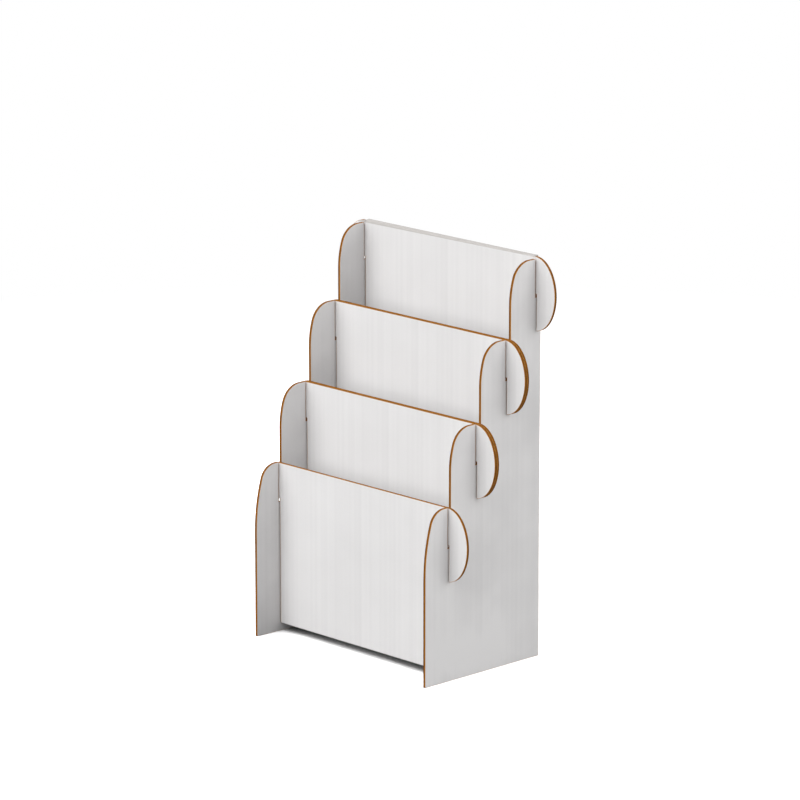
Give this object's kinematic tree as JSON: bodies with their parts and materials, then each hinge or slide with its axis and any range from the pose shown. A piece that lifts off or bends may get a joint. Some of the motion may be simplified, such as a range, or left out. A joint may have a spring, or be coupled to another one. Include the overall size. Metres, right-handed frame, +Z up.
{
  "type": "stepped cardboard brochure holder",
  "caption": "Stepped counter brochure holder of white-faced corrugated board: folded pockets rising to the back, hung between two upright stepped side panels by rounded ears",
  "frame": {"origin": "middle of the footprint, on the table", "axes": "+X along the width to the right seen from the front, +Y from the front tier to the back, +Z up"},
  "size_m": [0.2698, 0.1436, 0.3718],
  "materials": {
    "white_board": "matte"
  },
  "bodies": {
    "root": {"side_panel_left": "white_board", "side_panel_right": "white_board", "pocket_front": "white_board", "pocket_middle": "white_board", "pocket_rear": "white_board"}
  },
  "joints": []
}
